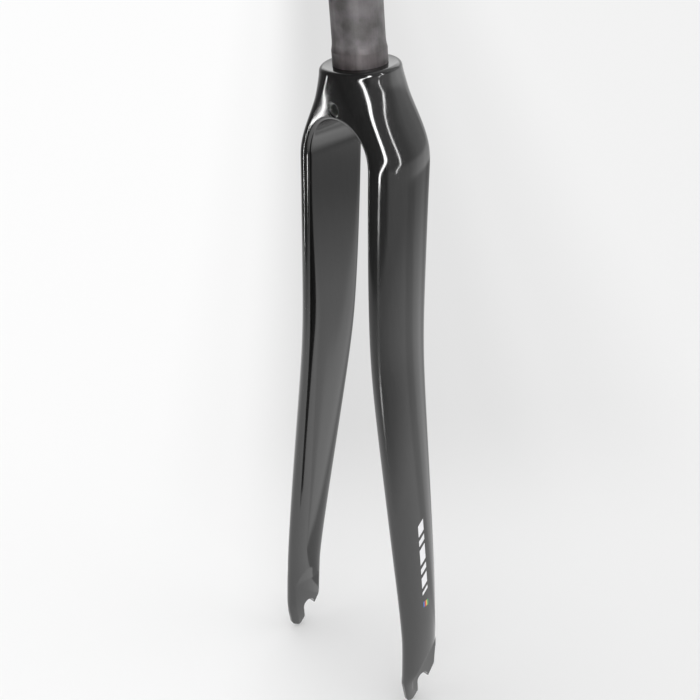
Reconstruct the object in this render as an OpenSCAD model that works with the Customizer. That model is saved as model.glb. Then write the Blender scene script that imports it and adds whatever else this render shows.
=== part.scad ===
// Road bicycle fork, full carbon, for a 700C wheel and a single-bolt rim brake.
// Units are millimetres. +Z runs up the steering axis, -Y is the front of the
// bicycle and +X is the rider's left. The origin is on the steering axis at the
// top of the crown, where the lower headset race comes to rest.

/* [Steerer tube] */
// Outside diameter of the straight steerer, the common 1 1/8 inch size
steerer_diameter = 28.6; // [28.2:0.1:29.0]
// Uncut length of the steerer above the crown
steerer_length = 300; // [180:5:340]
// Wall of the steerer over its upper, constant stretch
steerer_wall = 2.4; // [2.0:0.1:2.8]
// Thicker wall where the tube enters the crown
butt_wall = 3.2; // [3.0:0.1:4.4]
// Height above the crown at which the thick stretch has tapered out
butt_height = 62; // [40:2:90]
// Diameter of the ground seat for the headset race
race_seat_diameter = 30.0; // [29.6:0.1:30.4]
// Height of that seat above the crown
race_seat_height = 8.5; // [7:0.5:10]

/* [Crown] */
// Diameter of the round top of the crown
crown_top_diameter = 44; // [42:0.5:46]
// Rounding of the rim of the crown top
crown_shoulder = 2.5; // [1.5:0.25:3]
// Depth of the crown on its centre line, from its top to the top of the arch
crown_depth = 27; // [26:0.5:30]
// Height of the arch over the tyre, from its top to where the blades run straight
arch_height = 24; // [20:1:28]
// Rounding along the edge of the arch
arch_edge = 2.5; // [1.5:0.25:2.5]
// Depth of the brake bolt below the crown top
brake_hole_depth = 20.5; // [19.5:0.5:20.5]

/* [Blades] */
// Distance from the crown top to the axle, along the steering axis
axle_to_crown = 367; // [355:1:385]
// Forward offset of the axle from the steering axis
rake = 34; // [32:1:46]
// Clear gap between the blades under the crown
tyre_gap = 47; // [46:0.5:52]
// Width of a blade, side to side, under the crown
blade_width_top = 14.2; // [13:0.2:16]
// Width of a blade above the dropout
blade_width_low = 11.2; // [10.6:0.2:13]
// Depth of a blade, front to back, under the crown
blade_depth_top = 41.8; // [40:0.2:43]
// Depth of a blade above the dropout
blade_depth_low = 26.2; // [23:0.2:27]

/* [Dropouts] */
// Distance between the inner faces that grip the hub
hub_width = 100; // [98:1:102]
// Thickness of a dropout between hub locknut and quick-release nut
dropout_thickness = 6.5; // [5.5:0.25:7]
// Width of the slot for the axle
slot_width = 9; // [9:0.2:10]
// Lean of the slot, forward of the steering axis
slot_lean = 1; // [0:1:6]
// Length of the front lip below the axle
lip_length = 11; // [10:0.5:13]
// Height of the tip of the rear prong above the axle
prong_rise = 0; // [-2:0.5:1]

/* [Hidden] */
top_radius = crown_top_diameter / 2;
steerer_radius = steerer_diameter / 2;
bore_radius = steerer_radius - steerer_wall;
butt_radius = steerer_radius - butt_wall;
race_radius = race_seat_diameter / 2;
spring_depth = crown_depth + arch_height;
flare_depth = 50;
blade_start = 160;
blade_end = axle_to_crown - 32;
body_end = axle_to_crown + 16;
foot_start = axle_to_crown - 10;
foot_thinning = 6.5;
foot_pull = 2.2;
blade_lead = 1.2;
socket_depth = crown_depth - 4;
mould_inset = 1.2;
seat_x = hub_width / 2;
face_x = seat_x + dropout_thickness;
sleeve_front_radius = 3.1;
sleeve_front_outer = 4.0;
sleeve_rear_radius = 4.1;
sleeve_rear_outer = 5.0;
sleeve_step_y = 4;
bore_step_y = 6;
sleeve_recess = 1.2;
seat_reach = 8.6;

flat_steps = 5;
round_steps = 16;
wall_steps = 7;
rim_points = 2 * flat_steps + round_steps + 1;
ring_points = rim_points + wall_steps - 1;

// Rings through the crown, from its top rim down to the top of the arch
crown_rings = concat(
    [for (a = [0, 30, 60, 90]) crown_shoulder * (1 - cos(a))],
    [for (k = [1 : 6]) crown_shoulder + (crown_depth - arch_edge - crown_shoulder) * k / 6],
    [for (a = [22.5, 45, 67.5, 90]) crown_depth - arch_edge * (1 - sin(a))]
);
// Rings through the two blades, first round the arch and then down the blade
blade_rings = concat(
    [for (k = [1 : 9]) spring_depth - arch_height * cos(10 * k)],
    [for (k = [1 : 27]) spring_depth + (body_end - spring_depth) * k / 27]
);
last_crown = len(crown_rings) - 1;
last_blade = len(blade_rings) - 1;

function clamp01(v) = min(max(v, 0), 1);
function ease(v) = clamp01(v) * clamp01(v) * (3 - 2 * clamp01(v));
function mix(a, b, v) = a + (b - a) * v;
// A straight ramp with a soft start
function soft_ramp(v, k) = (v + sqrt(v * v + k * k)) / 2;
// A rounded square in polar form: 2 is a circle, more is squarer
function squareness(a, n) = pow(pow(abs(cos(a)), n) + pow(abs(sin(a)), n), -1 / n);

// The blade's inner face: level under the crown, then splayed out to the hub and
// drawn in a little round the tip of the lip
function inner_x(t) = tyre_gap / 2 + (seat_x - mould_inset - tyre_gap / 2)
    * (soft_ramp(t - blade_start, 25) - soft_ramp(t - blade_end, 15)) / (blade_end - blade_start)
    + foot_pull * ease((t - axle_to_crown + 2) / 18);
// Side to side the blade thins a little on its way down and once more round the foot
function width(t) = mix(blade_width_top, blade_width_low, clamp01((t - 60) / (blade_end - 60)))
    - foot_thinning * ease((t - foot_start) / (body_end - foot_start));
// The crown flares from its round top out to the blades
function outer_x(t) = t < flare_depth
    ? mix(top_radius, inner_x(t) + width(t), pow(ease(t / flare_depth), 1.5))
    : inner_x(t) + width(t);
function half_depth(t) = t < 45
    ? mix(top_radius, blade_depth_top / 2, ease(t / 45))
    : mix(blade_depth_top, blade_depth_low, pow(clamp01((t - 45) / (blade_end - 45)), 1.6)) / 2;
// The blades are straight and lean forward from the middle of the crown, until
// their middle runs a little ahead of the axle
function sweep_y(t) = -(rake + blade_lead) * soft_ramp(t - 36, 8) / (axle_to_crown - 40);
// Where the section is deepest: the middle low down, near the tyre under the crown
function shoulder_share(t) = mix(0.2, 0.5, ease((t - 60) / 260));
function shoulder_x(t) = t < spring_depth
    ? (inner_x(spring_depth) + 0.2 * width(spring_depth)) * pow(sin(90 * clamp01((t + 2) / (spring_depth + 2))), 1.5)
    : inner_x(t) + shoulder_share(t) * width(t);
// Half the opening at a depth, across the arch and between the blades
function opening_x(t) = t <= crown_depth ? 0
    : t < spring_depth ? inner_x(spring_depth) * sqrt(1 - pow((spring_depth - t) / arch_height, 2))
    : inner_x(t);
// Outer limit of the rounded edge of the opening
function edge_x(t) = t <= crown_depth - arch_edge ? min(2, shoulder_x(t) / 2)
    : t < spring_depth
    ? max(2, (inner_x(spring_depth) + arch_edge)
        * sqrt(max(0, 1 - pow((spring_depth - t) / (arch_height + arch_edge), 2))))
    : inner_x(t) + arch_edge;
// Distance of a point of the front view from the opening
function arch_gap(x, t) = t >= spring_depth ? x - inner_x(t)
    : let (u = x / inner_x(spring_depth),
        v = (spring_depth - t) / arch_height,
        r = sqrt(u * u + v * v),
        g = sqrt(pow(u / inner_x(spring_depth), 2) + pow(v / arch_height, 2)))
      (r - 1) * r / g;
function edge_pull(d) = d >= arch_edge ? 0
    : arch_edge - sqrt(max(0, arch_edge * arch_edge - pow(arch_edge - max(d, 0), 2)));
function rim_inset(t) = t >= crown_shoulder ? 0
    : crown_shoulder - sqrt(max(0, crown_shoulder * crown_shoulder - pow(crown_shoulder - t, 2)));

function round_inner(t) = ease((t - spring_depth - 10) / 90);
// Point of the front or rear flat, k steps out from the opening
function flat_point(k, t) =
    let (a = 90 * k / (flat_steps - 1),
        x = k == flat_steps ? shoulder_x(t) : mix(opening_x(t), edge_x(t), 1 - cos(a)),
        y = half_depth(t) - rim_inset(t) - edge_pull(arch_gap(x, t)),
        b = 180 * (flat_steps - k) / (2 * flat_steps + wall_steps),
        n = mix(4, 2.3, ease((t - 60) / 260)),
        s = squareness(b, n),
        xr = shoulder_x(t) - (shoulder_x(t) - inner_x(t)) * s * sin(b),
        yr = half_depth(t) * s * cos(b),
        m = round_inner(t))
    [mix(x, xr, m), mix(y, yr, m)];
function round_point(k, t) =
    let (a = 90 - 180 * k / round_steps,
        n = mix(mix(2, 2.3, ease(t / 15)), 2.1, ease((t - 25) / 50)),
        s = squareness(a, n),
        x = shoulder_x(t) + (outer_x(t) - rim_inset(t) - shoulder_x(t)) * s * cos(a),
        y = (half_depth(t) - rim_inset(t)) * s * sin(a))
    [x, sign(y) * max(0, abs(y) - edge_pull(arch_gap(x, t)))];
function wall_point(k, t) =
    let (y = (half_depth(t) - arch_edge) * (1 - 2 * k / wall_steps),
        b = 180 * (flat_steps + k) / (2 * flat_steps + wall_steps),
        n = mix(4, 2.3, ease((t - 60) / 260)),
        s = squareness(b, n),
        xr = shoulder_x(t) - (shoulder_x(t) - inner_x(t)) * s * sin(b),
        yr = half_depth(t) * s * cos(b),
        m = round_inner(t))
    [mix(opening_x(t), xr, m), mix(y, yr, m)];
// Point i of a ring, from the front edge of the opening round the outside
function ring_point(i, t) =
    i <= flat_steps ? let (p = flat_point(i, t)) [p.x, -p.y]
    : i < flat_steps + round_steps ? let (p = round_point(i - flat_steps, t)) [p.x, -p.y]
    : i < rim_points ? flat_point(rim_points - 1 - i, t)
    : wall_point(i - rim_points + 1, t);
function placed(i, t, side) = let (p = ring_point(i, t))
    [p.x < 0.001 ? 0 : side * p.x, p.y + sweep_y(t), -t];

// Rings of one side: the crown rings are open on the centre plane, the last of
// them also carries the line over the arch that both sides share
function side_points(side) = concat(
    [for (j = [0 : last_crown - 1]) for (i = [0 : rim_points - 1]) placed(i, crown_rings[j], side)],
    [for (i = [0 : ring_points - 1]) placed(i, crown_depth, side)],
    [for (j = [0 : last_blade]) for (i = [0 : ring_points - 1]) placed(i, blade_rings[j], side)]
);
closed_from = last_crown * rim_points;
side_count = closed_from + ring_points * (last_blade + 2);
function open_face(j, i) = let (a = j * rim_points + i, b = a + rim_points) [a, a + 1, b + 1, b];
function closed_face(j, i) =
    let (a = closed_from + j * ring_points, b = a + ring_points, k = (i + 1) % ring_points)
    [a + i, a + k, b + k, b + i];
side_faces = concat(
    [for (j = [0 : last_crown - 1]) for (i = [0 : rim_points - 2]) open_face(j, i)],
    [for (j = [0 : last_blade]) for (i = [0 : ring_points - 1]) closed_face(j, i)]
);
foot_face = [for (i = [0 : ring_points - 1]) closed_from + ring_points * (last_blade + 1) + i];
top_centre = 2 * side_count;
function turned(f) = [for (k = [len(f) - 1 : -1 : 0]) f[k]];
function shifted(f, n) = [for (k = f) k + n];
function triangles(f) = [for (k = [1 : len(f) - 2]) [f[0], f[k], f[k + 1]]];
all_faces = concat(
    [for (f = side_faces) each triangles(f)],
    [for (f = side_faces) each triangles(shifted(turned(f), side_count))],
    [foot_face, shifted(turned(foot_face), side_count)],
    [for (i = [0 : rim_points - 2]) [top_centre, i + 1, i]],
    [for (i = [0 : rim_points - 2]) [top_centre, side_count + i, side_count + i + 1]]
);

axle = [0, -rake, -axle_to_crown];

// Side view frame of the dropouts: x runs rearward and y upward from the axle,
// and an extrusion runs sideways through both dropouts
module at_axle() {
    translate(axle)
        rotate([90, 0, 90])
            children();
}

// Points along an arc, in six steps
function arc(centre, radius, from, to) =
    [for (k = [0 : 6])
        let (a = mix(from, to, k / 6))
            [centre.x + radius * cos(a), centre.y + radius * sin(a)]];
// Side outline of a dropout, from the rear edge down round the prong to the front lip
function dropout_outline() = concat(
    [[16, 23], [12, 18]],
    arc([5.8, 8.2 + prong_rise], 4.6, 0, -45),
    [[slot_width / 2 + 0.4, prong_rise], [-slot_width / 2, 4.8 - lip_length]],
    arc([-9.9, 3.2 - lip_length], 3.2, -50, -180),
    [[-14.6, 6], [-18, 12], [-18, 23]]
);

// What is trimmed off round the dropouts
module dropout_waste() {
    at_axle()
        translate([0, 0, -hub_width])
            linear_extrude(2 * hub_width)
                difference() {
                    translate([-40, -40])
                        square([80, 62]);
                    polygon(dropout_outline());
                }
}

// Open slot for the axle
module axle_slot() {
    at_axle()
        rotate(-slot_lean)
            translate([0, 0, -hub_width]) {
                cylinder(h = 2 * hub_width, r = slot_width / 2, $fn = 64);
                translate([-slot_width / 2, -30, 0])
                    cube([slot_width, 30, 2 * hub_width]);
            }
}

// Flat inner faces that grip the hub, with a sloping run-out on each blade
module hub_space() {
    translate([0, axle.y + 40, axle.z])
        rotate([90, 0, 0])
            linear_extrude(80)
                polygon([
                    [-seat_x, -40], [seat_x, -40], [seat_x, 20], [seat_x - 3, 34],
                    [3 - seat_x, 34], [-seat_x, 20]
                ]);
}

// All beyond the nut seat plane, up to a 45 degree bevel that lies at an angle to
// the upright
module seat_side(angle, reach) {
    at_axle()
        rotate(-angle)
            translate([0, 60, 0])
                rotate([90, 0, 0])
                    linear_extrude(120)
                        polygon([
                            [-reach, face_x],
                            [-reach - 9, face_x + 9],
                            [60, face_x + 9],
                            [60, face_x]
                        ]);
}

// Flat seat of the quick-release nut. Its bevel runs down and forward across the
// foot of the blade and then down the front lip beside the slot
module nut_seat() {
    intersection() {
        seat_side(45, seat_reach);
        seat_side(3, seat_reach);
    }
}

// Stepped round shape on the axis of the brake bolt, thin in front
module bolt_shape(front_radius, rear_radius, front_y, step_y, rear_y) {
    translate([0, 0, -brake_hole_depth])
        rotate([-90, 0, 0]) {
            translate([0, 0, front_y])
                cylinder(h = rear_y - front_y, r = front_radius, $fn = 64);
            translate([0, 0, step_y])
                cylinder(h = rear_y - step_y, r = rear_radius, $fn = 64);
        }
}

// One moulding of crown, both blades and both dropouts
module crown_and_blades() {
    color([0.05, 0.05, 0.055])
        difference() {
            polyhedron(concat(side_points(1), side_points(-1), [[0, 0, 0]]), all_faces);
            dropout_waste();
            axle_slot();
            hub_space();
            nut_seat();
            mirror([1, 0, 0])
                nut_seat();
            translate([0, 0, -socket_depth])
                cylinder(h = socket_depth + 1, r = steerer_radius, $fn = 96);
            translate([0, 0, -spring_depth])
                cylinder(h = spring_depth, r = butt_radius, $fn = 96);
            bolt_shape(sleeve_front_outer, sleeve_rear_outer, -40, sleeve_step_y, 40);
        }
}

// Carbon tube, bonded into the crown and ground for the headset race at its
// foot. It is cut to length when the fork is fitted
module steerer_tube() {
    color([0.32, 0.31, 0.32])
        difference() {
            rotate_extrude($fn = 128)
                polygon([
                    [butt_radius, -socket_depth],
                    [steerer_radius, -socket_depth],
                    [steerer_radius, 0],
                    [race_radius, 0],
                    [race_radius, race_seat_height - 0.7],
                    [race_radius - 0.15, race_seat_height],
                    [steerer_radius + 0.15, race_seat_height + 2.2],
                    [steerer_radius, race_seat_height + 4.5],
                    [steerer_radius, steerer_length - 0.4],
                    [steerer_radius - 0.4, steerer_length],
                    [bore_radius, steerer_length],
                    [bore_radius, butt_height],
                    [butt_radius, butt_height - 14]
                ]);
            bolt_shape(sleeve_front_outer, sleeve_rear_outer, -40, sleeve_step_y, 40);
        }
}

// Turned aluminium sleeve through the crown for the brake bolt and its long nut,
// sunk a little below the lacquer in front
module brake_sleeve() {
    front_y = sweep_y(brake_hole_depth) - half_depth(brake_hole_depth) + sleeve_recess;
    rear_y = sweep_y(brake_hole_depth) + half_depth(brake_hole_depth) + 0.3;
    color([0.75, 0.76, 0.78])
        difference() {
            bolt_shape(sleeve_front_outer, sleeve_rear_outer, front_y, sleeve_step_y, rear_y);
            bolt_shape(sleeve_front_radius, sleeve_rear_radius, front_y - 1, bore_step_y, rear_y + 1);
        }
}

steerer_tube();
crown_and_blades();
brake_sleeve();
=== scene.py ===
"""Looks of a black carbon road bicycle fork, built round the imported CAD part.

Metres. +Z runs up the steering axis, -Y is the front and +X the rider's left.
"""

import math

import bmesh
import bpy
import numpy as np
from mathutils import Matrix, Vector


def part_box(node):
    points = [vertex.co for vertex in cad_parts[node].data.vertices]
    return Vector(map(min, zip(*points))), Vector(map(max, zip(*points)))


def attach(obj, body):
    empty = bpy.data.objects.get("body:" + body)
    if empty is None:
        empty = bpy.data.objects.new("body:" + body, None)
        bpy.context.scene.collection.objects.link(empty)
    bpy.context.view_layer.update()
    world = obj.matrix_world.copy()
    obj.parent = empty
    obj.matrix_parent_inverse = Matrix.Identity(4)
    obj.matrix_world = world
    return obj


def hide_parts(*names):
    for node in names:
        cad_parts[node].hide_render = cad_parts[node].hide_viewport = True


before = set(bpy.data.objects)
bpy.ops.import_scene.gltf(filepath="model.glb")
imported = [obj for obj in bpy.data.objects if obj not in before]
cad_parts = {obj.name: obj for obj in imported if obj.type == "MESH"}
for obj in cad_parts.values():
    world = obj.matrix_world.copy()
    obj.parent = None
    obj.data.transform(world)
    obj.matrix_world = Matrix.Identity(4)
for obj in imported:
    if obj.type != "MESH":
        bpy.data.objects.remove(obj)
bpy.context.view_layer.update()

# Crown and blades: one hollow carbon moulding with a round crown that flares into two bladed legs
# and ends in open dropouts. It is pressed in a polished mould and lacquered gloss black, and the
# dropouts, the tube socket and the brake hole are cut after.
mm = 0.001
fork_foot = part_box("crown_and_blades")[0][2]
axle_z = -0.367
rake = 0.034
lead = 0.0012
sweep_start = 0.036
sweep_round = 8 * mm
sweep_run = 327 * mm
half_gap = 0.0235
hub_face = 0.050
hub_stock = 1.2 * mm
crown_radius = 22 * mm
crown_depth = 0.027
flare_length = 50 * mm
flare_blur = 7
arch_height = 0.024
arch_edge = 0.0025
rim_round = 0.0025
spring = crown_depth + arch_height
splay_start = 160 * mm
blade_foot = 0.335
body_end = 0.383
width_top = 14.2 * mm
width_low = 11.2 * mm
half_depth_top = 20.9 * mm
half_depth_low = 13.1 * mm
foot_thinning = 6.5 * mm
foot_pull = 2.2 * mm


def make_object(name, points, faces, smooth_angle=None):
    """A mesh object at the origin from points in metres and faces as index lists."""
    mesh = bpy.data.meshes.new(name)
    mesh.from_pydata([tuple(p) for p in points], [], [tuple(f) for f in faces])
    mesh.validate()
    mesh.update()
    if smooth_angle is not None:
        mesh.polygons.foreach_set("use_smooth", [True] * len(mesh.polygons))
        mesh.set_sharp_from_angle(angle=math.radians(smooth_angle))
    made = bpy.data.objects.new(name, mesh)
    bpy.context.scene.collection.objects.link(made)
    return made


def clamp01(v):
    """Limits a value to 0 to 1."""
    return np.clip(v, 0, 1)


def ease(v):
    """Smooth step: 3v^2 - 2v^3 between 0 and 1."""
    v = clamp01(v)
    return v * v * (3 - 2 * v)


def mix(a, b, v):
    """Goes from a to b as v goes from 0 to 1."""
    return a + (b - a) * v


def soft_ramp(v, k):
    """0 far below v = 0 and v far above it, with a rounded start of size k."""
    return (v + np.sqrt(v * v + k * k)) / 2


def squareness(a, n):
    """Radius of a unit superellipse of exponent n at angle a."""
    return (np.abs(np.cos(a)) ** n + np.abs(np.sin(a)) ** n) ** (-1 / n)


def inner_x(t):
    """Inner face of a blade at depth t: level at the crown, then splayed to the hub."""
    run = soft_ramp(t - splay_start, 25 * mm) - soft_ramp(t - blade_foot, 15 * mm)
    splay = (hub_face - hub_stock - half_gap) * run / (blade_foot - splay_start)
    return half_gap + splay + foot_pull * ease((t - 365 * mm) / (18 * mm))


def width(t):
    """Width of a blade, side to side: it narrows evenly down the blade and thins at the foot."""
    low = mix(width_top, width_low, clamp01((t - 60 * mm) / (blade_foot - 60 * mm)))
    return low - foot_thinning * ease((t - 357 * mm) / (26 * mm))


def outer_x(t):
    """Outer face: smooth step to the power 1.5 from crown to blade, its lower end averaged."""
    steps = range(-flare_blur, flare_blur + 1)
    sharp = ease(t / flare_length) ** 1.5
    soft = sum(ease((t + k * mm) / flare_length) ** 1.5 for k in steps) / len(steps)
    flare = mix(sharp, soft, ease((t - 15 * mm) / (15 * mm)))
    return mix(crown_radius, inner_x(t) + width(t), flare)


def half_depth(t):
    """Half the depth, front to back: full at the crown top, then tapering to the power 1.6."""
    taper = clamp01((t - 45 * mm) / (blade_foot - 45 * mm)) ** 1.6
    return mix(mix(crown_radius, half_depth_top, ease(t / (45 * mm))), half_depth_low, taper)


def sweep_y(t):
    """The blades lean forward in a straight line from the middle of the crown."""
    return -(rake + lead) * soft_ramp(t - sweep_start, sweep_round) / sweep_run


def low_share(t):
    """0 down to 60 mm, where the section is still a D, and 1 from 320 mm on, where it is an oval."""
    return ease((t - 60 * mm) / (260 * mm))


def wall_share(t):
    """0 where the inner wall is flat, 1 from 100 mm below the arch, where it is all oval."""
    return ease((t - spring - 10 * mm) / (90 * mm))


def shoulder_x(t):
    """Where a section is deepest: by the tyre under the crown, mid blade low down."""
    at_spring = inner_x(spring) + 0.2 * width(spring)
    over = at_spring * np.sin(math.pi / 2 * clamp01((t + 2 * mm) / (spring + 2 * mm))) ** 1.5
    share = mix(0.2, 0.5, low_share(t))
    return np.where(t < spring, over, inner_x(t) + share * width(t))


def opening_x(t):
    """Half the tyre opening: 0 in the crown, an ellipse over the arch, the inner face below."""
    rise = np.sqrt(clamp01(1 - ((spring - t) / arch_height) ** 2))
    arch = inner_x(spring) * rise
    return np.where(t <= crown_depth, 0, np.where(t < spring, arch, inner_x(t)))


def edge_x(t):
    """Outer limit of the rounding that runs along the opening."""
    reach = np.sqrt(clamp01(1 - ((spring - t) / (arch_height + arch_edge)) ** 2))
    arch = np.maximum(2 * mm, (inner_x(spring) + arch_edge) * reach)
    flat = np.minimum(2 * mm, shoulder_x(t) / 2)
    low = inner_x(t) + arch_edge
    return np.where(t <= crown_depth - arch_edge, flat, np.where(t < spring, arch, low))


def arch_gap(x, t):
    """Distance of a point of the front view from the opening."""
    wide = inner_x(spring)
    u = x / wide
    v = (spring - t) / arch_height
    r = np.sqrt(u * u + v * v) + 1e-12
    g = np.sqrt((u / wide) ** 2 + (v / arch_height) ** 2) + 1e-12
    return np.where(t >= spring, x - inner_x(t), (r - 1) * r / g)


def edge_pull(d):
    """How far the rounding pulls the surface in at distance d from the opening."""
    fall = np.sqrt(np.clip(arch_edge**2 - (arch_edge - np.maximum(d, 0)) ** 2, 0, None))
    return np.where(d >= arch_edge, 0, arch_edge - fall)


def rim_inset(t):
    """Rounding of the rim of the crown top."""
    fall = np.sqrt(np.clip(rim_round**2 - (rim_round - t) ** 2, 0, None))
    return np.where(t >= rim_round, 0, rim_round - fall)


def oval_inner(share, t):
    """Inner half of the low blade, a superellipse: share 0 is the front, 1 the rear."""
    a = math.pi * share
    n = mix(4, 2.3, low_share(t))
    s = squareness(a, n)
    x = shoulder_x(t) - (shoulder_x(t) - inner_x(t)) * s * np.sin(a)
    return x, half_depth(t) * s * np.cos(a)


def flat_point(k, t):
    """Front or rear flat, k from 0 at the opening to 5 at the shoulder."""
    rounded = mix(opening_x(t), edge_x(t), 1 - np.cos(math.pi / 2 * min(k, 4) / 4))
    x = mix(rounded, shoulder_x(t), max(k - 4, 0))
    y = half_depth(t) - rim_inset(t) - edge_pull(arch_gap(x, t))
    xr, yr = oval_inner((5 - k) / 17, t)
    m = wall_share(t)
    return mix(x, xr, m), mix(y, yr, m)


def wall_point(k, t):
    """Inner wall, k from 0 at the front to 7 at the rear."""
    y = (half_depth(t) - arch_edge) * (1 - 2 * k / 7)
    xr, yr = oval_inner((5 + k) / 17, t)
    m = wall_share(t)
    return mix(opening_x(t), xr, m), mix(y, yr, m)


def round_point(a, t):
    """Outer half of a section, a nearly round superellipse at angle a from the side."""
    n = mix(mix(2, 2.3, ease(t / (15 * mm))), 2.1, ease((t - 25 * mm) / (50 * mm)))
    s = squareness(a, n)
    x = shoulder_x(t) + (outer_x(t) - rim_inset(t) - shoulder_x(t)) * s * np.cos(a)
    y = (half_depth(t) - rim_inset(t)) * s * np.sin(a)
    return x, np.sign(y) * np.maximum(0, np.abs(y) - edge_pull(arch_gap(x, t)))


def crown_bend(t):
    """Sideways curvature of the crown's front and rear in 1/m: 0.15 / (t + 6 mm).

    It fades in from the top and is gone below the arch.
    """
    return 0.15 / (t + 6 * mm) * ease(t / (20 * mm)) * (1 - ease((t - 14 * mm) / (40 * mm)))


def moulding_surface():
    """Rings of a D-shaped section stacked down the crown and the blades.

    Each ring runs from the front edge of the opening round the outside to the
    rear edge, and below the crown also back along the inner wall. The second
    side is the mirror image, and both share the points on the centre plane.
    """
    flat_ks = [0, 0.5, 1, 1.5, 2, 2.5, 3, 3.5, 4, 4.2, 4.4, 4.6, 4.8]
    angles = [math.radians(a) for a in np.linspace(90, -90, 45)]
    wall_ks = list(np.linspace(0, 7, 25))[1:-1]
    crown_t = np.concatenate([
        rim_round * (1 - np.cos(np.radians(np.linspace(0, 90, 9)))),
        np.linspace(rim_round, crown_depth - arch_edge, 21)[1:],
        crown_depth - arch_edge * (1 - np.sin(np.radians(np.linspace(0, 90, 8)[1:]))),
    ])
    blade_t = np.concatenate([
        spring - arch_height * np.cos(np.radians(np.linspace(0, 90, 31)[1:])),
        np.linspace(spring, body_end, 150)[1:],
    ])
    depths = np.concatenate([crown_t, blade_t])

    columns = [flat_point(k, depths) for k in flat_ks]
    columns = [(x, -y) for x, y in columns]
    columns += [(x, -y) for x, y in (round_point(a, depths) for a in angles)]
    columns += [flat_point(k, depths) for k in flat_ks[::-1]]
    rim_count = len(columns)
    columns += [wall_point(k, depths) for k in wall_ks]
    ring_count = len(columns)
    x = np.stack([c[0] for c in columns], 1)
    y = np.stack([c[1] for c in columns], 1)
    y -= np.sign(y) * np.minimum(x * x / 2 * crown_bend(depths)[:, None], np.abs(y) / 4)
    y += sweep_y(depths)[:, None]
    x[x < 1e-6] = 0

    # Above the opening a ring has no wall: its wall points fall on its first point
    last_crown = len(crown_t) - 1
    x[:last_crown, rim_count:] = x[:last_crown, :1]
    y[:last_crown, rim_count:] = y[:last_crown, :1]
    z = np.broadcast_to(-depths[:, None], x.shape)
    sides = np.stack([np.stack([side * x, y, z], -1) for side in (1, -1)])
    loose = sides.reshape(-1, 3)
    first, weld = np.unique(np.round(loose, 7) + 0.0, axis=0, return_index=True, return_inverse=True)[1:]
    points = np.vstack([loose[first], [(0, 0, 0)]])
    top = len(first)

    row, column = np.mgrid[:len(depths) - 1, :ring_count]
    beside = (column + 1) % ring_count
    meshed = (row >= last_crown) | (column < rim_count - 1)
    faces = []
    for grid, turn in zip(weld.reshape(sides.shape[:3]), (1, -1)):
        quads = [grid[row, column], grid[row, beside], grid[row + 1, beside], grid[row + 1, column]]
        fan = [np.full(rim_count - 1, top), grid[0, 1:rim_count], grid[0, :rim_count - 1]]
        faces += np.stack(quads, -1)[meshed][:, ::turn].tolist()
        faces += [grid[-1][::turn].tolist()]
        faces += np.stack(fan, -1)[:, ::turn].tolist()
    faces = [list(dict.fromkeys(corners)) for corners in faces]
    return points.tolist(), [corners for corners in faces if len(corners) > 2]


def prism(name, outline, place, along):
    """A solid from a closed outline: place(u, v, w) sets a point, along = (start, end)."""
    count = len(outline)
    points = [place(u, v, w) for w in along for u, v in outline]
    faces = [list(range(count))[::-1], list(range(count, 2 * count))]
    faces += [[k, (k + 1) % count, count + (k + 1) % count, count + k] for k in range(count)]
    made = make_object(name, points, faces)
    outward(made)
    return made


def outward(made):
    """Turns every face of a closed mesh outwards."""
    work = bmesh.new()
    work.from_mesh(made.data)
    bmesh.ops.recalc_face_normals(work, faces=work.faces)
    work.to_mesh(made.data)
    work.free()


def arc(cx, cy, r, start, end, steps=12):
    """Points of a round stretch between two angles in degrees."""
    angles = np.radians(np.linspace(start, end, steps + 1))
    return [(cx + r * math.cos(a), cy + r * math.sin(a)) for a in angles]


# Side view of the dropouts in millimetres: u runs rearward and v up from the axle. The outline goes
# down the rear lip, across the slot and down the front lip to its tip.
outline = [(16, 23), (12, 18)]
outline += arc(5.8, 8.2, 4.6, 0, -45)
outline += [(4.9, 0), (-4.5, -6.2)]
outline += arc(-9.9, -7.8, 3.2, -50, -180)
outline += [(-14.6, 6), (-18, 12), (-18, 22)]
waste = [(-40, 22), (-40, -40), (40, -40), (40, 22), (15.2, 22)] + outline[1:]


def side_place(u, v, w):
    """A point of the side view, u and v in millimetres from the axle, at w across the fork."""
    return (w, -rake + u * mm, axle_z + v * mm)


slot_lean = math.radians(1)
slot_radius = 4.5


def slot_place(u, v, w):
    """The same, leaning with the slot."""
    c, s = math.cos(slot_lean), math.sin(slot_lean)
    return side_place(u * c + v * s, -u * s + v * c, w)


slot = [(-slot_radius, -30), (slot_radius, -30)] + arc(0, 0, slot_radius, 0, 180, 32)
spare_cutters = []
cutters = [
    prism("waste_cut", waste, side_place, (-90 * mm, 90 * mm)),
    prism("slot_cut", slot, slot_place, (-90 * mm, 90 * mm)),
    prism("hub_cut", [(-50, -40), (50, -40), (50, 20), (47, 34), (-47, 34), (-50, 20)],
          lambda u, v, w: (u * mm, w, axle_z + v * mm), (-rake - 40 * mm, -rake + 40 * mm)),
]


def lip_corner(name, side):
    """Slanting cut that rounds off the inner front corner of a lip towards its tip."""
    outline = [(49, -30), (49, -9.5), (51.5, -11.6), (54, -15), (58, -30)]
    slant = 0.16

    def place(u, v, w):
        """u across the fork, v rearward and leaning with w, w up."""
        return side_place(v - slant * (w + 2), w, side * u * mm)

    return prism(name, outline, place, (-20, 16))


seat_reach = 8.6
seat_plane = 56.5


def seat_side(name, side, angle):
    """All beyond the nut seat plane, behind a bevel at an angle to the upright."""
    c, s = math.cos(math.radians(angle)), math.sin(math.radians(angle))
    far = seat_plane + 9
    outline = [(-seat_reach, seat_plane), (-seat_reach - 9, far), (60, far), (60, seat_plane)]

    def place(u, v, w):
        """u and w turned by the angle in the side view, v across the fork."""
        return side_place(u * c + w * s, -u * s + w * c, side * v * mm)

    return prism(name, outline, place, (-60, 60))


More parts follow.
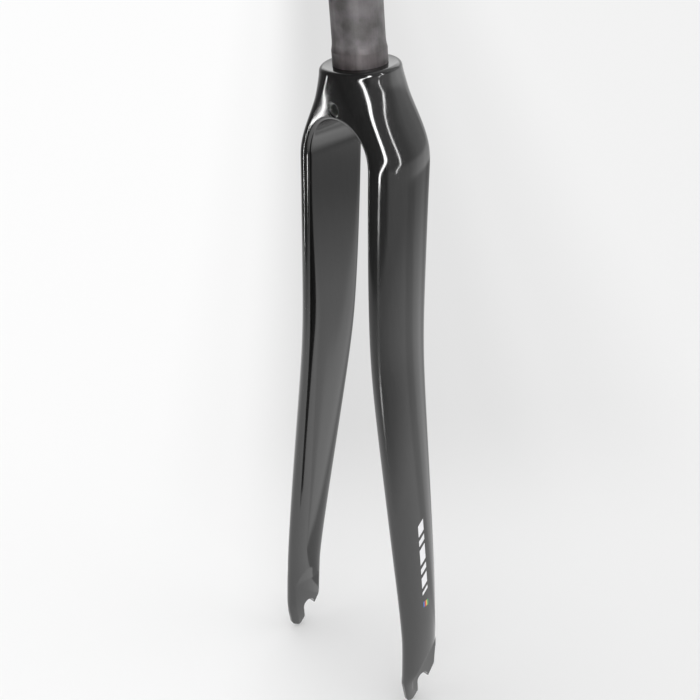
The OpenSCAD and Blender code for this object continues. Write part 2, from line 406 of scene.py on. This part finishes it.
for side, name in ((1, "left"), (-1, "right")):
    seat = seat_side("seat_cut_" + name, side, 45)
    lip_side = seat_side("lip_cut_" + name, side, 3)
    both = seat.modifiers.new("lip", "BOOLEAN")
    both.operation = "INTERSECT"
    both.object = lip_side
    cutters.append(seat)
    cutters.append(lip_corner("corner_cut_" + name, side))
    spare_cutters.append(lip_side)


brake_hole_z = -20.5 * mm


def round_cut(name, radius, start, end, turned=False, count=96):
    """A cylinder up Z, or along Y at the brake hole where turned."""
    around = np.linspace(0, 2 * math.pi, count + 1)[:-1]
    ring = [(radius * math.cos(a), radius * math.sin(a)) for a in around]
    if turned:
        return prism(name, ring, lambda u, v, w: (u, w, brake_hole_z + v), (start, end))
    return prism(name, ring, lambda u, v, w: (u, v, w), (start, end))


socket_radius, socket_floor = 14.3 * mm, -23 * mm
vent_radius, vent_end = 11.1 * mm, -51 * mm
bolt_radius, nut_radius, nut_start = 4 * mm, 5 * mm, 4 * mm
cutters.append(round_cut("socket_cut", socket_radius, socket_floor, 1 * mm))
cutters.append(round_cut("vent_cut", vent_radius, vent_end, socket_floor + 1 * mm))
cutters.append(round_cut("bolt_cut", bolt_radius, -40 * mm, nut_start + 1 * mm, turned=True, count=64))
cutters.append(round_cut("nut_cut", nut_radius, nut_start, 40 * mm, turned=True, count=64))

moulding = make_object("crown_and_blades_shell", *moulding_surface())
outward(moulding)
for cutter in cutters:
    cut = moulding.modifiers.new(cutter.name, "BOOLEAN")
    cut.operation = "DIFFERENCE"
    cut.solver = "EXACT"
    cut.object = cutter
depsgraph = bpy.context.evaluated_depsgraph_get()
shell = bpy.data.meshes.new_from_object(moulding.evaluated_get(depsgraph))
moulding.modifiers.clear()
moulding.data = shell
for cutter in cutters + spare_cutters:
    bpy.data.objects.remove(cutter)
shell.name = "crown_and_blades_shell"
shell.polygons.foreach_set("use_smooth", [True] * len(shell.polygons))
shell.set_sharp_from_angle(angle=math.radians(28))


# All the finishes take their fine streaks and cloudy patches from this one group
def build_fibre_group():
    """Streak = noise stretched along Z; Cloud = soft noise of a few centimetres."""
    group = bpy.data.node_groups.new("fibre_streaks", "ShaderNodeTree")
    face = group.interface
    face.new_socket("Vector", in_out="INPUT", socket_type="NodeSocketVector")
    face.new_socket("Streaks per metre", in_out="INPUT", socket_type="NodeSocketFloat")
    face.new_socket("Clouds per metre", in_out="INPUT", socket_type="NodeSocketFloat")
    face.new_socket("Streak", in_out="OUTPUT", socket_type="NodeSocketFloat")
    face.new_socket("Cloud", in_out="OUTPUT", socket_type="NodeSocketFloat")
    nodes, links = group.nodes, group.links
    inside = nodes.new("NodeGroupInput")
    outside = nodes.new("NodeGroupOutput")
    squeeze = nodes.new("ShaderNodeVectorMath")
    squeeze.operation = "MULTIPLY"
    squeeze.inputs[1].default_value = (1, 1, 0.03)
    links.new(inside.outputs["Vector"], squeeze.inputs[0])
    streak = nodes.new("ShaderNodeTexNoise")
    streak.inputs["Detail"].default_value = 3
    streak.inputs["Roughness"].default_value = 0.6
    links.new(squeeze.outputs["Vector"], streak.inputs["Vector"])
    links.new(inside.outputs["Streaks per metre"], streak.inputs["Scale"])
    cloud = nodes.new("ShaderNodeTexNoise")
    cloud.inputs["Detail"].default_value = 4
    cloud.inputs["Roughness"].default_value = 0.55
    links.new(inside.outputs["Vector"], cloud.inputs["Vector"])
    links.new(inside.outputs["Clouds per metre"], cloud.inputs["Scale"])
    links.new(streak.outputs["Fac"], outside.inputs["Streak"])
    links.new(cloud.outputs["Fac"], outside.inputs["Cloud"])
    return group


fibre_group = build_fibre_group()


def fibre(nodes, links, streaks, clouds):
    """A fibre group node on Object coordinates, with its streaks and clouds per metre."""
    place = nodes.new("ShaderNodeTexCoord")
    node = nodes.new("ShaderNodeGroup")
    node.node_tree = fibre_group
    node.inputs["Streaks per metre"].default_value = streaks
    node.inputs["Clouds per metre"].default_value = clouds
    links.new(place.outputs["Object"], node.inputs["Vector"])
    return node


def ramp(nodes, links, source, stops):
    """A colour ramp from a value: stops are (position, grey or (r, g, b))."""
    node = nodes.new("ShaderNodeValToRGB")
    elements = node.color_ramp.elements
    while len(elements) < len(stops):
        elements.new(0.5)
    for element, (at, shade) in zip(elements, stops):
        rgb = shade if isinstance(shade, tuple) else (shade, shade, shade)
        element.position = at
        element.color = (*rgb, 1)
    links.new(source, node.inputs["Fac"])
    return node.outputs["Color"]


gloss = bpy.data.materials.new("gloss_black_carbon")
gloss.use_nodes = True
nodes, links = gloss.node_tree.nodes, gloss.node_tree.links
paint = nodes["Principled BSDF"]
paint.inputs["Roughness"].default_value = 0.10
paint.inputs["IOR"].default_value = 1.5
fibres = fibre(nodes, links, 900, 60)
black = ramp(nodes, links, fibres.outputs["Streak"], [(0.3, 0.006), (0.7, 0.011)])
links.new(black, paint.inputs["Base Color"])
soft_edge = nodes.new("ShaderNodeBevel")
soft_edge.samples = 8
soft_edge.inputs["Radius"].default_value = 0.5 * mm
links.new(soft_edge.outputs["Normal"], paint.inputs["Normal"])
shell.materials.clear()
shell.materials.append(gloss)
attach(moulding, "root")
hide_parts("crown_and_blades")

# Decal: a thin printed film under the lacquer on the outside of the left blade, with slanting white
# bars and a row of four small colour fields below them.
film_lift = 0.04 * mm
film_slant = -0.7


def on_blade(y, t, lift):
    """Points of the left blade's outer face: a superellipse of exponent 2.1, lifted along X."""
    reach = (1 - np.abs(y / half_depth(t)) ** 2.1) ** (1 / 2.1)
    x = shoulder_x(t) + (outer_x(t) - shoulder_x(t)) * reach
    return np.stack([x + lift, y + sweep_y(t), -t], -1)


def film(name, fields):
    """Fields (y from, y to, depth from, depth to) in millimetres, each a slanting 7 x 9 grid."""
    points, faces = [], []
    for y0, y1, t0, t1 in fields:
        u, v = np.meshgrid(np.linspace(y0, y1, 7), np.linspace(t0, t1, 9))
        at = len(points) + np.arange(u.size).reshape(u.shape)
        points += on_blade(u * mm, (v + film_slant * (u - y0)) * mm, film_lift).reshape(-1, 3).tolist()
        faces += np.stack([at[:-1, :-1], at[1:, :-1], at[1:, 1:], at[:-1, 1:]], -1).reshape(-1, 4).tolist()
    made = make_object(name, points, faces, 60)
    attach(made, "root")
    return made


def print_ink(name, shade):
    """Silk-screen ink of one colour, slightly uneven, under the lacquer."""
    ink = bpy.data.materials.new(name)
    ink.use_nodes = True
    nodes, links = ink.node_tree.nodes, ink.node_tree.links
    paint = nodes["Principled BSDF"]
    paint.inputs["Roughness"].default_value = 0.15
    grain = fibre(nodes, links, 900, 400)
    pale = tuple(c * 0.93 for c in shade)
    tone = ramp(nodes, links, grain.outputs["Cloud"], [(0.35, pale), (0.65, shade)])
    links.new(tone, paint.inputs["Base Color"])
    return ink


bar_depths = [(262, 269), (271.5, 275), (277.5, 287), (289.5, 293), (295.5, 302), (304.5, 306.5)]
bars = film("decal_bars", [(-0.6, 3.9, start, end) for start, end in bar_depths])
bars.data.materials.append(print_ink("white_ink", (0.82, 0.82, 0.84)))
field_colours = [(0.04, 0.18, 0.55), (0.6, 0.03, 0.04), (0.75, 0.5, 0.03), (0.03, 0.35, 0.12)]
field_pitch = 1.1
for k, shade in enumerate(field_colours):
    patch = film("decal_field_%d" % (k + 1), [(-0.4 + field_pitch * k, 0.5 + field_pitch * k, 311, 314.5)])
    patch.data.materials.append(print_ink("colour_ink_%d" % (k + 1), shade))

# Steerer tube: a carbon tube bonded into the crown and left bare, ground to size and satin grey, with
# long streaks and darker cloudy patches where the resin lies thicker.
raw = bpy.data.materials.new("raw_ground_carbon")
raw.use_nodes = True
nodes, links = raw.node_tree.nodes, raw.node_tree.links
paint = nodes["Principled BSDF"]
paint.inputs["Roughness"].default_value = 0.46
paint.inputs["Specular IOR Level"].default_value = 0.45
fibres = fibre(nodes, links, 300, 75)


def multiplied(first, second):
    """Product of two colours."""
    node = nodes.new("ShaderNodeMix")
    node.data_type = "RGBA"
    node.blend_type = "MULTIPLY"
    node.inputs["Factor"].default_value = 1
    links.new(first, node.inputs["A"])
    links.new(second, node.inputs["B"])
    return node.outputs["Result"]


patches = [(0.38, (0.05, 0.044, 0.044)), (0.62, (0.14, 0.13, 0.135))]
clouded = ramp(nodes, links, fibres.outputs["Cloud"], patches)
streaked = multiplied(clouded, ramp(nodes, links, fibres.outputs["Streak"], [(0.3, 0.6), (0.7, 1.0)]))
# The seat of the headset race is darker and a little brown. Above it a painted highlight lightens the
# chamfer where it catches the light
seat_brown = (0.62, 0.56, 0.56)
seat_tone_and_painted_highlight = [(0.0, seat_brown), (0.0084, seat_brown), (0.0090, 1.5), (0.0112, 1.2), (0.0135, 1.0)]
place = nodes.new("ShaderNodeTexCoord")
axes = nodes.new("ShaderNodeSeparateXYZ")
links.new(place.outputs["Object"], axes.inputs["Vector"])
# The painted highlight on the chamfer and the darker seat are multiplied into the streaked tone here
tone_and_painted_highlight = multiplied(streaked, ramp(nodes, links, axes.outputs["Z"], seat_tone_and_painted_highlight))
links.new(tone_and_painted_highlight, paint.inputs["Base Color"])
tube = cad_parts["steerer_tube"]
tube.data.materials.clear()
tube.data.materials.append(raw)

# Brake sleeve: turned aluminium, glued through the crown for the brake bolt, thin at the front and
# wider at the rear for the long nut. Its ends are left bright.
metal = bpy.data.materials.new("turned_aluminium")
metal.use_nodes = True
nodes, links = metal.node_tree.nodes, metal.node_tree.links
paint = nodes["Principled BSDF"]
paint.inputs["Metallic"].default_value = 1
paint.inputs["Roughness"].default_value = 0.3
fibres = fibre(nodes, links, 1500, 300)
silver = ramp(nodes, links, fibres.outputs["Cloud"], [(0.3, 0.45), (0.7, 0.6)])
links.new(silver, paint.inputs["Base Color"])
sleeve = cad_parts["brake_sleeve"]
sleeve.data.materials.clear()
sleeve.data.materials.append(metal)

# Floor: a plain pale studio floor just under the lips, with a painted shadow: a soft grey shade painted
# into its colour behind the fork and to its left, laid out in metres across the shade and along it. It is
# matt, and the gloss does not see it.
floor_z = fork_foot - 0.002
floor_half = 3
corners = [(floor_half * u, floor_half * v, floor_z) for u, v in ((-1, -1), (1, -1), (1, 1), (-1, 1))]
floor = make_object("floor", corners, [[0, 1, 2, 3]])
pale = bpy.data.materials.new("pale_floor_painted_shadow")
pale.use_nodes = True
paint = pale.node_tree.nodes["Principled BSDF"]
paint.inputs["Roughness"].default_value = 0.9
paint.inputs["Specular IOR Level"].default_value = 0


def maths(tree, operation, *values):
    """A Math node on numbers or sockets."""
    node = tree.nodes.new("ShaderNodeMath")
    node.operation = operation
    for socket, value in zip(node.inputs, values):
        if isinstance(value, (int, float)):
            socket.default_value = value
        else:
            tree.links.new(value, socket)
    return node.outputs["Value"]


def ranged(tree, value, start, end, low=0, high=1, kind="SMOOTHSTEP"):
    """Low before start and high after end, with a smooth or a straight step between."""
    node = tree.nodes.new("ShaderNodeMapRange")
    node.interpolation_type = kind
    tree.links.new(value, node.inputs["Value"])
    node.inputs["From Min"].default_value = start
    node.inputs["From Max"].default_value = end
    node.inputs["To Min"].default_value = low
    node.inputs["To Max"].default_value = high
    return node.outputs["Result"]


def stepped(tree, value, steps, kind="SMOOTHSTEP"):
    """Steps between pairs of (place, level), added up."""
    (start, before), (end, after) = steps[:2]
    total = ranged(tree, value, start, end, before, after, kind)
    for (start, before), (end, after) in zip(steps[1:], steps[2:]):
        total = maths(tree, "ADD", total, ranged(tree, value, start, end, 0, after - before, kind))
    return total


shade_turn = math.radians(49.65)
across_shade = (math.cos(shade_turn), math.sin(shade_turn), 0)
along_shade = (-math.sin(shade_turn), math.cos(shade_turn), 0)
tree = pale.node_tree
place = tree.nodes.new("ShaderNodeTexCoord")
metres = []
for direction in (across_shade, along_shade):
    dot = tree.nodes.new("ShaderNodeVectorMath")
    dot.operation = "DOT_PRODUCT"
    tree.links.new(place.outputs["Object"], dot.inputs[0])
    dot.inputs[1].default_value = direction
    metres.append(dot.outputs["Value"])
# Painted shadow: grey levels across the shade, far behind the fork and close to it, painted into the floor
# colour
far_painted_shadow_levels = [(-0.194, 0.90), (-0.124, 0.865), (-0.036, 0.67), (0.088, 0.71), (0.158, 0.755), (0.299, 0.82)]
near_painted_shadow_levels = [(-0.120, 0.90), (-0.032, 0.83), (0.043, 0.81), (0.166, 0.82)]
far_share = stepped(tree, metres[1], [(0.04, 0), (0.29, 1)])
near_share = maths(tree, "SUBTRACT", 1, far_share)
far = maths(tree, "MULTIPLY", stepped(tree, metres[0], far_painted_shadow_levels), far_share)
near = maths(tree, "MULTIPLY", stepped(tree, metres[0], near_painted_shadow_levels), near_share)
tree.links.new(maths(tree, "ADD", far, near), paint.inputs["Base Color"])
floor.data.materials.append(pale)
floor.visible_glossy = False

# Studio light: the same level from everywhere, except in the gloss, which sees a room that is dark in
# front of the fork and white behind it, and a few bright strips. Each strip is a window of compass
# angle and height, in degrees: the compass is 0 in front and +90 on the rider's left.
daylight = 1.09
world = bpy.data.worlds.new("studio")
bpy.context.scene.world = world
world.use_nodes = True
world.cycles.sampling_method = "NONE"
tree = world.node_tree


def between(tree, value, low, high, soft):
    """1 between low and high, fading out over soft beyond them."""
    below = ranged(tree, value, low - soft, low)
    return maths(tree, "MULTIPLY", below, ranged(tree, value, high + soft, high))


place = tree.nodes.new("ShaderNodeTexCoord")
axes = tree.nodes.new("ShaderNodeSeparateXYZ")
tree.links.new(place.outputs["Generated"], axes.inputs["Vector"])
ahead = maths(tree, "MULTIPLY", axes.outputs["Y"], -1)
compass = maths(tree, "MULTIPLY", maths(tree, "ARCTAN2", axes.outputs["X"], ahead), 180 / math.pi)
height = maths(tree, "MULTIPLY", maths(tree, "ARCSINE", axes.outputs["Z"]), 180 / math.pi)
room_steps = [
    (-180, 1.2), (-150, 0.9), (-125, 0.85), (-100, 0.5), (-80, 0.15), (-30, 0.12), (40, 0.25),
    (70, 0.35), (80, 1.1), (128, 1.15), (142, 2.0), (162, 2.0), (180, 1.2),
]
room = stepped(tree, compass, room_steps, "LINEAR")
# Above the horizon the room is darker on the left, and it has a bright window at the rear
left_sky = maths(tree, "MULTIPLY", between(tree, compass, 60, 175, 15), between(tree, height, 0, 90, 8))
room = maths(tree, "MULTIPLY", room, maths(tree, "SUBTRACT", 1, maths(tree, "MULTIPLY", left_sky, 0.4)))
window = maths(tree, "MULTIPLY", between(tree, compass, -179, -110, 10), between(tree, height, 18, 40, 6))
gloss_light = maths(tree, "ADD", room, maths(tree, "MULTIPLY", window, 1.3))
# Compass at the lower and the upper end, half width, fade, heights of the turn between the two,
# lower and upper end, strength
strips = [
    (-55.2, -55.2, 0.1, 0.35, 0, 1, -34, -10, 70),
    (34, 74, 4.2, 2, -13, 17, -12.3, 36, 32),
    (100, 111, 0.7, 0.8, -9, 2, -9, 34, 26),
]
end_fade = 1.5
for low_c, high_c, half, fade, turn_start, turn_end, low_h, high_h, strength in strips:
    middle = ranged(tree, height, turn_start, turn_end, low_c, high_c)
    beside = maths(tree, "SUBTRACT", compass, middle)
    bar = between(tree, beside, -half, half, fade)
    mask = maths(tree, "MULTIPLY", bar, between(tree, height, low_h, high_h, end_fade))
    gloss_light = maths(tree, "ADD", gloss_light, maths(tree, "MULTIPLY", mask, strength))
rays = tree.nodes.new("ShaderNodeLightPath")
extra = maths(tree, "SUBTRACT", gloss_light, daylight)
extra = maths(tree, "MULTIPLY", rays.outputs["Is Glossy Ray"], extra)
backdrop = tree.nodes["Background"]
tree.links.new(maths(tree, "ADD", extra, daylight), backdrop.inputs["Strength"])
backdrop.inputs["Color"].default_value = (1, 1, 1, 1)

# Paper: a glowing disc on the floor, which only the gloss sees, in place of the floor: a painted reflection
# of white studio paper. It is bright from a third of a metre out, ends a metre out, and has painted shade
# close round the fork and behind it.
ring = [(math.cos(a), math.sin(a), floor_z + 0.0005) for a in np.linspace(0, 2 * math.pi, 97)[:-1]]
paper = make_object("paper", ring, [list(range(96))])
glow = bpy.data.materials.new("painted_floor_reflection")
glow.use_nodes = True
tree = glow.node_tree
tree.nodes.remove(tree.nodes["Principled BSDF"])
place = tree.nodes.new("ShaderNodeTexCoord")
length = tree.nodes.new("ShaderNodeVectorMath")
length.operation = "LENGTH"
tree.links.new(place.outputs["Object"], length.inputs[0])
distance = length.outputs["Value"]
bright = ranged(tree, distance, 0.60, 0.86, 2.0, 1.05, "LINEAR")
gone = ranged(tree, distance, 0.95, 1.06)
# Painted shadow: the glow is dull close round the fork, and painted shade makes it duller behind it
painted_fork_shadow = ranged(tree, distance, 0.15, 0.34, 0.25, 1.0)
axes = tree.nodes.new("ShaderNodeSeparateXYZ")
tree.links.new(place.outputs["Object"], axes.inputs["Vector"])
bearing = maths(tree, "ARCTAN2", axes.outputs["Y"], axes.outputs["X"])
painted_rear_shade = ranged(tree, bearing, math.radians(66), math.radians(88), 1, 0.45)
# Painted shade: it is also a little darker where the faces between the blades look
painted_blade_shade = between(tree, bearing, math.radians(36), math.radians(44), math.radians(6))
level = maths(tree, "MULTIPLY", maths(tree, "MULTIPLY", bright, painted_fork_shadow), painted_rear_shade)
level = maths(tree, "MULTIPLY", level, maths(tree, "SUBTRACT", 1, maths(tree, "MULTIPLY", painted_blade_shade, 0.22)))
shine = tree.nodes.new("ShaderNodeEmission")
tree.links.new(level, shine.inputs["Strength"])
clear = tree.nodes.new("ShaderNodeBsdfTransparent")
blend = tree.nodes.new("ShaderNodeMixShader")
tree.links.new(gone, blend.inputs["Fac"])
tree.links.new(shine.outputs["Emission"], blend.inputs[1])
tree.links.new(clear.outputs["BSDF"], blend.inputs[2])
tree.links.new(blend.outputs["Shader"], tree.nodes["Material Output"].inputs["Surface"])
paper.data.materials.append(glow)
paper.visible_camera = paper.visible_diffuse = paper.visible_shadow = False
paper.visible_transmission = paper.visible_volume_scatter = False

# Camera: it stands in front of the fork on its left, where the outlines of both legs fall on those
# of the photograph, and looks down at it.
picture_px = 700
focal_px = 1357.7
yaw, pitch, roll = math.radians(49.65), math.radians(27.40), math.radians(-4.59)
back = Vector((math.sin(yaw) * math.cos(pitch), -math.cos(yaw) * math.cos(pitch), math.sin(pitch)))
level_right = Vector((0, 0, 1)).cross(back).normalized()
level_up = back.cross(level_right)
right = math.cos(roll) * level_right + math.sin(roll) * level_up
up = math.cos(roll) * level_up - math.sin(roll) * level_right
lens = bpy.data.cameras.new("photo_camera")
lens.sensor_width = 36
lens.lens = focal_px * lens.sensor_width / picture_px
lens.clip_end = 20
camera = bpy.data.objects.new("photo_camera", lens)
turned = Matrix((right, up, back)).transposed().to_4x4()
camera.matrix_world = Matrix.Translation((0.5292, -0.4728, 0.1969)) @ turned
bpy.context.scene.collection.objects.link(camera)
bpy.context.scene.camera = camera
bpy.context.scene.view_settings.view_transform = "Standard"
